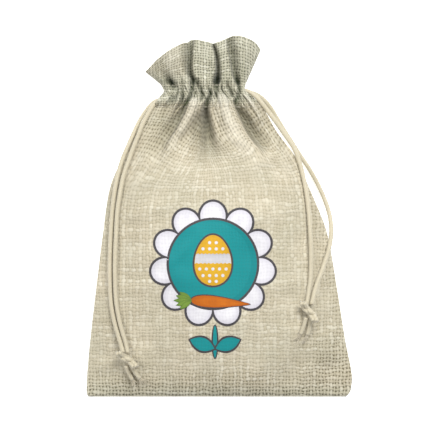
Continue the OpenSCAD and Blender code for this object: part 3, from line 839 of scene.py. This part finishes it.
PLY_GAP = CLOTH_T + 0.25          # from the outside of the cloth to the outside of the ply under it
LINING_HALF_W, LINING_HALF_H = 16.4, 3.3    # of the channel's inner ply, which the drawcords lie round


def channel_lining(c, y, side):
    """The turned-in ply inside the channel: it leaves the cloth between the two rows of stitches."""
    x = across(c, y)
    z = (front_height if side > 0 else back_height)(x, y, c) - side * PLY_GAP
    free = ease(y, LOWER_ROW_Y + 0.6, 56.0) * (1 - ease(y, 62.9, UPPER_ROW_Y + 0.4))
    x += (NECK_X + LINING_HALF_W * c - x) * free
    z += (NECK_Z + side * LINING_HALF_H * (1 - c ** 4) ** 0.5 - z) * free
    return np.stack([x, y, z], axis=2)


def hem_ply(name, side, material):
    """The turned-in ply, from the frill's top edge down to the channel's lower row of stitches."""
    c, v = np.meshgrid(np.linspace(-0.985, 0.985, 160), np.linspace(0.0, 0.965, 26))
    frill = np.stack(frill_sheet(c, v, side, PLY_GAP), axis=2)
    c, y = np.meshgrid(c[0], np.linspace(LOWER_ROW_Y, NECK_TOP, 36))
    lining = channel_lining(c, y, side)
    lining += (frill[:1] - lining[-1:]) * ease(y, 63.4, NECK_TOP)[:, :, None]
    points = np.concatenate([lining[:-1], frill], axis=0)
    piece = grid_object(name, points, material, flip=side < 0)
    set_vectors(piece, "threads", thread_places(points))
    # The turned-in ply takes the full painted shade and the most open weave.
    for look in ("two_ply_and_shade", "openness"):
        set_data(piece, look, np.ones(points.shape[:2]))
    add_thickness(piece)
    return piece


def tube_faces(rows, sides, start=0):
    """Faces of a tube and of its two ends, from the point with the number start."""
    faces = grid_faces(rows, sides, closed=True)
    faces += [tuple(range(sides))[::-1], tuple((rows - 1) * sides + k for k in range(sides))]
    return [tuple(start + i for i in face) for face in faces]


STITCH_L, STITCH_GAP, STITCH_D = 2.4, 1.1, 0.42
STITCH_STEP = 0.3       # between the points of a stitch
THREAD_SIDES = 6


def short_threads(name, lines, material):
    """Many short threads as one piece."""
    points, faces = [], []
    for line in lines:
        line = np.asarray(line, float)
        tangent = np.gradient(line, axis=0)
        start = len(points)
        for centre, t in zip(line, tangent):
            t = t / np.linalg.norm(t)
            a = np.cross(t, (0.31, 0.23, 0.92))
            a /= np.linalg.norm(a)
            b = np.cross(t, a)
            for k in range(THREAD_SIDES):
                angle = 2 * math.pi * k / THREAD_SIDES
                points.append(centre + STITCH_D / 2 * (math.cos(angle) * a + math.sin(angle) * b))
        faces += tube_faces(len(line), THREAD_SIDES, start)
    return new_object(name, points, faces, material)


def nearest_row(points, column, y):
    """Number of the row of a grid that passes nearest to y."""
    return int(np.argmin(np.abs(points[:, column, 1] - y)))


def stitch_row(name, points, side, y, material):
    """Stitches that follow one row of the gathered cloth."""
    row = nearest_row(points, points.shape[1] // 2, y)
    line, _ = even(points[row], STITCH_STEP)
    per, every = int(STITCH_L / STITCH_STEP), int((STITCH_L + STITCH_GAP) / STITCH_STEP)
    lines = []
    for start in range(10, len(line) - per - 10, every):
        part = line[start:start + per + 1].copy()
        part[:, 2] += side * (0.34 * np.sin(np.linspace(0, math.pi, per + 1)) - 0.16)
        lines.append(part)
    return short_threads(name, lines, material)


def bar_tacks(name, points, column, material):
    """Dense turns of thread that lock both ends of the slit where a cord comes out."""
    turns, count, half_length = 9, 150, 0.9
    turn = np.linspace(0, 2 * math.pi * turns, count)
    lines = []
    for y in (54.6, 63.8):
        x = points[nearest_row(points, column, y), column, 0]
        lines.append(np.stack([x + math.copysign(0.9, NECK_X - x) + 0.7 * np.cos(turn),
                               y + np.linspace(-half_length, half_length, count),
                               NECK_Z + 1.3 * np.sin(turn)], axis=1))
    return short_threads(name, lines, material)


# ---- print

PRINT_X, PRINT_Y = -3.2, -22.8      # middle of the print, which its shapes are placed from
DISC_R = 21.4
PETALS, PETAL_REACH, PETAL_A, PETAL_B = 11, 23.4, 7.4, 6.7
EGG_Y = 1.8
LINE_W = 1.15           # width of the printed outlines
# Each ink's colour, and the shade that it takes towards its rim and where it is worn.
INKS = {
    "white": ((0.68, 0.67, 0.69), (0.50, 0.48, 0.54)),
    "dark": ((0.030, 0.028, 0.032), (0.07, 0.065, 0.07)),
    "teal": ((0.008, 0.232, 0.242), (0.008, 0.212, 0.222)),
    "deep_teal": ((0.006, 0.21, 0.22), (0.006, 0.19, 0.20)),
    "yellow": ((0.62, 0.36, 0.025), (0.52, 0.28, 0.02)),
    "orange": ((0.50, 0.135, 0.010), (0.36, 0.08, 0.006)),
    "green": ((0.16, 0.26, 0.04), (0.08, 0.15, 0.03)),
    "grey": ((0.54, 0.53, 0.55), (0.42, 0.41, 0.43)),
}


def decal(name, x, y, lift, material, closed=True):
    """A patch of ink on the front cloth from grids of x and y: closed rings, inside to outside, or rows."""
    z, threads = SURFACE.at(x, y)
    points = np.stack([x, y, z + lift], axis=2)
    piece = grid_object(name, points, material, flip=not closed, closed=closed)
    set_vectors(piece, "threads", threads)
    set_data(piece, "rim", np.linspace(0, 1, len(x))[:, None] + np.zeros_like(x))
    return piece


def patch(name, x, y, outline, lift, ink, turn=0.0, count=12, steps=96):
    """A closed patch of ink, in rings about x and y; its outline gives the two reaches at an angle."""
    reach_x, reach_y = outline(np.linspace(0, 2 * math.pi, steps, endpoint=False))
    share = np.linspace(0.002, 1, count)[:, None]
    px, py = share * reach_x, share * reach_y
    return decal(name, PRINT_X + x + px * math.cos(turn) - py * math.sin(turn),
                 PRINT_Y + y + px * math.sin(turn) + py * math.cos(turn), lift, ink)


def ellipse(a, b):
    return lambda angle: (a * np.cos(angle), b * np.sin(angle))


def egg(a, b):
    return lambda angle: (a * np.cos(angle) * (1 - 0.14 * np.sin(angle)), b * np.sin(angle))


def leaf(length, width):
    """Pointed at both ends, along x from 0."""
    return lambda angle: (length / 2 * np.cos(angle), width / 2 * np.sin(angle) * np.abs(np.sin(angle)))


def root_of_carrot(length, width):
    """Thin at its right end."""
    return lambda angle: (length / 2 * np.cos(angle),
                          width / 2 * np.sin(angle) * (0.62 - 0.38 * np.cos(angle)))


def joined(pieces, name):
    """One piece from several, keeping their materials' order."""
    bpy.ops.object.select_all(action="DESELECT")
    for piece in pieces:
        piece.select_set(True)
    bpy.context.view_layer.objects.active = pieces[0]
    bpy.ops.object.join()
    pieces[0].name = pieces[0].data.name = name
    return pieces[0]


def make_print():
    """A round flower with an egg and a carrot in front of it, on a stem with two leaves."""
    ink = {name: ink_material(name + "_ink", *colours) for name, colours in INKS.items()}
    pieces = []
    for name, grow, lift, colour in (("petal_lines", LINE_W / 2, 0.16, "dark"),
                                     ("petals", -LINE_W / 2, 0.20, "white")):
        turns = [math.pi / 2 + 2 * math.pi * k / PETALS for k in range(PETALS)]
        pieces.append(joined([
            patch(name, PETAL_REACH * math.cos(turn), PETAL_REACH * math.sin(turn),
                  ellipse(PETAL_A + grow, PETAL_B + grow), lift, ink[colour], turn, 9, 64)
            for turn in turns], name))

    def shape(name, x, y, outline, lift, colour, **more):
        pieces.append(patch(name, x, y, outline, lift, ink[colour], **more))

    shape("disc_line", 0, 0, ellipse(DISC_R + LINE_W, DISC_R + LINE_W), 0.24, "dark", count=22)
    shape("disc_shadow", 0, 0, ellipse(DISC_R, DISC_R), 0.27, "deep_teal", count=22)
    shape("disc", -1.3, 0.3, ellipse(DISC_R - 1.5, DISC_R - 0.9), 0.30, "teal", count=22)
    shape("egg_line", 0, EGG_Y, egg(9.8, 13.2), 0.34, "dark")
    shape("egg", 0, EGG_Y, egg(8.9, 12.3), 0.38, "yellow")
    band_u, band_v = np.meshgrid(np.linspace(-1, 1, 61), np.linspace(-1, 1, 7))
    band_y = 0.6 + 2.3 * band_v + 0.55 * np.abs(((band_u * 4.5) % 1) * 2 - 1)
    band_x = 8.75 * band_u * (1 - 0.14 * band_y / 12.3) * np.sqrt(1 - (band_y / 12.3) ** 2)
    pieces.append(decal("egg_band", PRINT_X + band_x, PRINT_Y + EGG_Y + band_y, 0.42, ink["grey"],
                        closed=False))
    pieces.append(joined([
        patch("dots", (k - (count - 1) / 2) * 3.2, EGG_Y + dy, ellipse(0.8, 0.8), 0.44, ink["white"],
              count=4, steps=20)
        for dy, count in ((8.6, 2), (5.6, 4), (-4.2, 5), (-7.4, 4), (-10.2, 2))
        for k in range(count)], "dots"))

    carrot_x, carrot_y = 3.6, -18.6
    shape("carrot_line", carrot_x, carrot_y, root_of_carrot(29.6, 9.4), 0.44, "dark", turn=-0.07)
    shape("carrot", carrot_x, carrot_y, root_of_carrot(28.4, 8.0), 0.48, "orange", turn=-0.07)
    tops = []
    for k in range(5):
        turn, length = 2.55 + 0.3 * k, 9.0 - 0.8 * abs(k - 2)
        tops.append(patch("carrot_top", carrot_x - 13.8 + length / 2 * math.cos(turn),
                          carrot_y + 0.9 + length / 2 * math.sin(turn), leaf(length, 2.6),
                          0.46 + 0.01 * k, ink["green"], turn, 6, 40))
    pieces.append(joined(tops, "carrot_top"))

    shape("stem_line", 1.0, -38.0, ellipse(1.7, 8.6), 0.14, "dark")
    shape("stem", 1.0, -38.0, ellipse(1.0, 7.9), 0.18, "teal")
    for name, turn in (("left_leaf", math.pi - 0.35), ("right_leaf", 0.35)):
        x, y = 1.0 + 6.6 * math.cos(turn), -41.5 + 6.6 * math.sin(turn)
        shape(name + "_line", x, y, leaf(14.5, 8.4), 0.20, "dark", turn=turn)
        shape(name, x, y, leaf(12.6, 6.4), 0.24, "teal", turn=turn)
    for piece in pieces:
        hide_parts("printed_motif")
        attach(piece, "root")


# ---- cords


def spline(route, per_span=8):
    """The same smooth line through a route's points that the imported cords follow."""
    route = np.asarray(route, float)
    ends = np.concatenate([route[:1], route, route[-1:]])
    line = []
    for before, start, end, after in zip(ends, ends[1:], ends[2:], ends[3:]):
        line += [hermite(s, start, (end - before) / 2, end, (after - start) / 2)
                 for s in np.arange(per_span) / per_span]
    return np.array(line + [route[-1]])


def travel_along(line):
    """How far along a line each of its points lies."""
    return np.concatenate([[0], np.cumsum(np.linalg.norm(np.diff(line, axis=0), axis=1))])


def even(line, step):
    """The line cut into even steps, and its length."""
    travel = travel_along(line)
    count = max(int(travel[-1] / step), 4)
    places = np.linspace(0, travel[-1], count + 1)
    return np.stack([np.interp(places, travel, line[:, k]) for k in range(3)], axis=1), travel[-1]


TWIST_PITCH = 5.2       # length of one turn of the cord's plies
PLIES = 3
CORD_SIDES = 18
CORD_STEP = 0.55        # from ring to ring of a cord's mesh


def cord_points(line, diameter, taper):
    """Rings of a three-ply cord along an even line, with the coordinates of its fibres."""
    tangent = np.gradient(line, axis=0)
    tangent /= np.linalg.norm(tangent, axis=1)[:, None]
    side = np.cross(tangent[0], (0.123, 0.2, 1.0))
    frames = []
    for t in tangent:
        side = side - t * np.dot(side, t)
        side /= np.linalg.norm(side)
        frames.append((side.copy(), np.cross(t, side)))
    travel = travel_along(line)
    angle = np.linspace(0, 2 * math.pi, CORD_SIDES, endpoint=False)
    points, lay = [], []
    for k, centre in enumerate(line):
        turn = 2 * math.pi * travel[k] / TWIST_PITCH
        lobes = np.abs(np.cos(PLIES / 2 * (angle - turn)))
        radius = diameter / 2 * (0.90 + 0.12 * lobes) * taper[k]
        a, b = frames[k]
        points.append(centre + radius[:, None] * (np.cos(angle)[:, None] * a + np.sin(angle)[:, None] * b))
        fibre = angle - turn * 1.6
        lay.append(np.stack([4 * np.cos(fibre), 4 * np.sin(fibre), np.full(CORD_SIDES, travel[k] * 0.12)],
                            axis=1))
    return np.array(points), np.array(lay)


def tube(name, line, diameter, material, taper=(1, 1), step=CORD_STEP):
    """A cord or yarn along a line; taper holds its thickness from start to end, in diameters."""
    line, _ = even(line, step)
    taper = np.interp(np.linspace(0, 1, len(line)), np.linspace(0, 1, len(taper)), taper)
    points, lay = cord_points(line, diameter, taper)
    piece = new_object(name, points.reshape(-1, 3), tube_faces(len(points), CORD_SIDES), material)
    set_vectors(piece, "lay_of_cord", lay)
    return piece


# Each strand from its end in the channel, out at the side and down to its knot.
ROUTES = {
    "left_front_strand": [
        (NECK_L + CORD_STUB, 57.5, 16), (-22, 57.5, 16), (-28, 57.5, 16), (-31.6, 55.4, 15.8),
        (-34.6, 50.8, 15.8), (-37.3, 45.6, 16), (-39.7, 39.6, 16), (-42.1, 33.6, 15.8), (-44.5, 27, 15.7),
        (-47, 19.5, 15.8), (-48.8, 10, 16), (-50, 1, 15.6), (-50.5, -9, 15.5), (-51, -20, 15.3),
        (-51, -31, 15), (-50.4, -42, 14.5), (-48.6, -52, 14), (-46, -61, 13.6), (-44.8, -66.2, 13.8)],
    "left_back_strand": [
        (NECK_L + CORD_STUB, 57.5, 6), (-22, 57.5, 6), (-28, 57.5, 6), (-32.4, 56.2, 6.4), (-36.2, 51.8, 8),
        (-39.2, 47, 10.4), (-41.7, 41.6, 12.4), (-44.3, 35.6, 13.3), (-47.1, 29, 13.4), (-49.8, 20, 14),
        (-51.5, 10.5, 14.2), (-52.6, 1, 14), (-53.2, -9, 13.8), (-53.6, -20, 13.7), (-53.6, -31, 13.6),
        (-53, -42, 13.3), (-51.2, -52, 13), (-48.6, -61, 13), (-47.1, -66.2, 13.6)],
    "right_front_strand": [
        (NECK_R - CORD_STUB, 61.5, 16), (8, 61.5, 16), (13.2, 61.5, 16), (17.6, 59, 15.4), (21, 55.2, 14.6),
        (24.4, 50.8, 13.6), (27.8, 46.4, 12.8), (31, 41.8, 12.4), (34, 37.6, 12.3), (36.8, 33, 12.4),
        (39.8, 24.5, 13), (42, 14.5, 14), (43.4, 4, 15.3), (44.2, -7, 16.6), (44.6, -18, 17), (44.4, -29, 17),
        (43.4, -37, 17.4), (42.4, -42.6, 18.2)],
    "right_back_strand": [
        (NECK_R - CORD_STUB, 61.5, 6), (8, 61.5, 6), (13.2, 61.5, 6), (18.6, 60, 5.6), (22.6, 56.8, 5),
        (25.8, 52.8, 4.4), (28.4, 48.4, 3.8), (31.6, 43.2, 3), (35.3, 37.4, 2.4), (39.6, 30.6, 2),
        (44.6, 23.2, 2), (49.5, 14, 2.6), (53.4, 4, 4.6), (54.8, -5, 8.4), (53.9, -14, 12),
        (50.6, -24.5, 14.4), (47, -34, 16.6), (44.8, -42.6, 18)],
}
# Place of each knot, its turn about Z and its dip, in degrees.
KNOTS = {"left": ((-45.3, -69.3, 13.9), -76, 4), "right": ((43.5, -45.9, 18.4), -92, 2)}
TAILS = {
    "left": [[(-43.4, -72.4, 13), (-41.6, -75.6, 11.8), (-39.4, -78.6, 10.4), (-36.6, -81.4, 9)],
             [(-45.6, -72.8, 12.6), (-44.6, -76, 11.2), (-43, -79.2, 9.8), (-41, -82.4, 8.4)]],
    "right": [[(42.2, -49, 17.8), (41.2, -52.8, 16.6), (39.8, -56.6, 15.8), (37.8, -60.4, 15.2)],
              [(44.6, -49, 17.6), (44, -53, 16), (43, -57, 15), (41.4, -61, 14.4)]],
}


def overhand(place, turn, dip, offset):
    """One strand of a doubled overhand knot, pulled tight, along its own X."""
    t = np.linspace(-2.12, 2.12, 90)
    along = (t ** 5 - 10 * t) / 9.5 * 1.9
    wide = (t ** 3 - 3 * t) * 1.02
    high = (t ** 4 - 4 * t ** 2) * 0.80 + 1.9
    local = np.stack([along, wide + offset * 0.75, high + offset * 0.35], axis=1)
    a, b = math.radians(turn), math.radians(dip)
    forward = np.array([math.cos(a) * math.cos(b), math.sin(a) * math.cos(b), -math.sin(b)])
    sideways = np.array([-math.sin(a), math.cos(a), 0])
    return np.array(place) + local @ np.array([forward, sideways, np.cross(forward, sideways)])


YARNS, YARN_D = 9, 0.34      # that each cut end comes undone into


def frayed_tail(name, route, material, fibre):
    """A cut end of cord that has come undone into thin yarns."""
    line = spline(route)
    keep = int(len(line) * 0.72)
    made = [tube(name, line[:keep], CORD_D * 0.94, material, taper=(1, 1, 0.98, 0.9))]
    tip, forward = line[keep - 1], line[-1] - line[keep - 5]
    forward /= np.linalg.norm(forward)
    for _ in range(YARNS):
        spread = rng.normal(0, 0.42, 3)
        spread[2] = abs(spread[2]) * 0.4 - 0.25
        reach = rng.uniform(3.0, 6.5)
        start = tip - forward * 0.9 + rng.normal(0, 0.3, 3)
        middle = start + forward * reach * 0.5 + spread
        end = start + forward * reach + spread * reach * 0.62
        yarn = spline([start, middle, end], 6)
        floor_z, _ = SURFACE.at(yarn[:, 0], yarn[:, 1])
        yarn[:, 2] = np.maximum(yarn[:, 2], floor_z + 0.3)
        made.append(tube(name, yarn, YARN_D, fibre, taper=(1, 0.9, 0.5), step=0.5))
    return joined(made, name)


def make_cords():
    """Both drawcords: strands, knots and tails, and the runs inside the channel."""
    material = cord_material("smooth_cord", (0.56, 0.51, 0.385), (0.43, 0.38, 0.265))
    fibre = cord_material("cord_yarn", (0.60, 0.55, 0.43), (0.47, 0.41, 0.30))
    for side, sign, exit_x, y in (("left", -1, NECK_L, LEFT_CORD_Y), ("right", 1, NECK_R, RIGHT_CORD_Y)):
        body = side + "_cord"
        place, turn, dip = KNOTS[side]
        knot = joined([tube(side + "_knot_visible", overhand(place, turn, dip, k), CORD_D * 0.95, material,
                            step=0.35) for k in (-1, 1)], side + "_tied_knot")
        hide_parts(side + "_knot")
        tails = joined([frayed_tail(f"{side}_tail_{k}", route, material, fibre)
                        for k, route in enumerate(TAILS[side])], side + "_frayed_tails")
        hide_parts(side + "_tails")
        for piece in (knot, tails):
            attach(piece, body)
        for part in ("front", "back"):
            node = f"{side}_{part}_strand"
            line, length = even(spline(ROUTES[node]), CORD_STEP)
            piece = tube(node + "_cord", line, CORD_D, material)
            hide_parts(node)
            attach(piece, body)
        # The turn of the cord inside the channel.
        start = exit_x - sign * (CORD_STUB + 0.1)
        far = exit_x - sign * (2 * NECK_HALF - 8)
        arc = [(far - sign * TURN_R * math.cos(a), y, NECK_Z - TURN_R * math.sin(a))
               for a in np.radians(np.linspace(-90, 90, 9))]
        route = [(start, y, NECK_Z + TURN_R), *arc, (start, y, NECK_Z - TURN_R)]
        run = tube(side + "_cord_in_channel", spline(route), CORD_D, material)
        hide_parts(side + "_cord_run")
        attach(run, "root")


make_camera()
make_studio()
CLOTH = cloth_material("woven_cloth", threads_of)
INSIDE_CLOTH = cloth_material("turned_in_cloth", object_threads, 0.7)
THREAD = thread_material()
front, front_points = cloth_side("front_cloth", 1, 340, 150, 64, 56, CLOTH)
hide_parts("front_panel", "front_casing", "front_frill")
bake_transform(front)
back, back_points = cloth_side("back_cloth", -1, 200, 90, 30, 36, CLOTH)
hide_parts("back_panel", "back_casing", "back_frill")
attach(back, "root")
SURFACE = FrontSurface(front, front_points)

front_hem = hem_ply("front_turned_in_ply", 1, CLOTH)
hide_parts("front_frill_hem")
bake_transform(front_hem)
back_hem = hem_ply("back_turned_in_ply", -1, CLOTH)
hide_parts("back_frill_hem")
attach(back_hem, "root")

for side_name, side, points in (("front", 1, front_points), ("back", -1, back_points)):
    for row_name, y in (("upper", UPPER_ROW_Y), ("lower", LOWER_ROW_Y)):
        row = stitch_row(f"{side_name}_{row_name}_row", points, side, y, THREAD)
        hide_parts(f"{side_name}_{row_name}_stitches")
        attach(row, "root")
for side_name, column in (("left", 0), ("right", -1)):
    tacks = bar_tacks(side_name + "_tacks", front_points, column, THREAD)
    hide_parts(side_name + "_bar_tacks")
    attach(tacks, "root")
for seam in ("left", "right", "bottom"):
    for ending, material in (("_seam_allowance", INSIDE_CLOTH), ("_seam_thread", THREAD)):
        for slot in bpy.data.objects[seam + ending].material_slots:
            slot.material = material
make_cords()
make_print()
